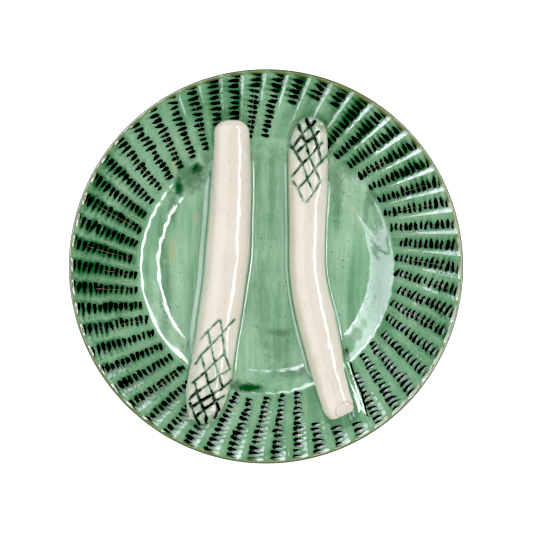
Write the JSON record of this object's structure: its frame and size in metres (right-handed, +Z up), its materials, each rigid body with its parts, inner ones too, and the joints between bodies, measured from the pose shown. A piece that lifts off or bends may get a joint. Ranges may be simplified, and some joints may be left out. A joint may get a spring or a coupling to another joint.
{
  "type": "asparagus plate",
  "caption": "Round glazed earthenware plate with a fluted, impressed rim, a deep well and two asparagus spears in relief across it.",
  "frame": {"origin": "centre of the foot ring, on the surface that the plate stands on", "axes": "+Z up through the middle of the plate, +Y to the far side, where the left spear has its cut end and the right spear its tip, +X to the right"},
  "size_m": [0.24, 0.24, 0.0306],
  "materials": {
    "green_glaze": "glossy",
    "well_glaze": "glossy",
    "cream_glaze": "glossy",
    "bare_foot": "matt"
  },
  "bodies": {
    "root": {"rim": "green_glaze", "well": "well_glaze", "foot_ring": "bare_foot", "left_spear": "cream_glaze", "right_spear": "cream_glaze"}
  },
  "joints": []
}
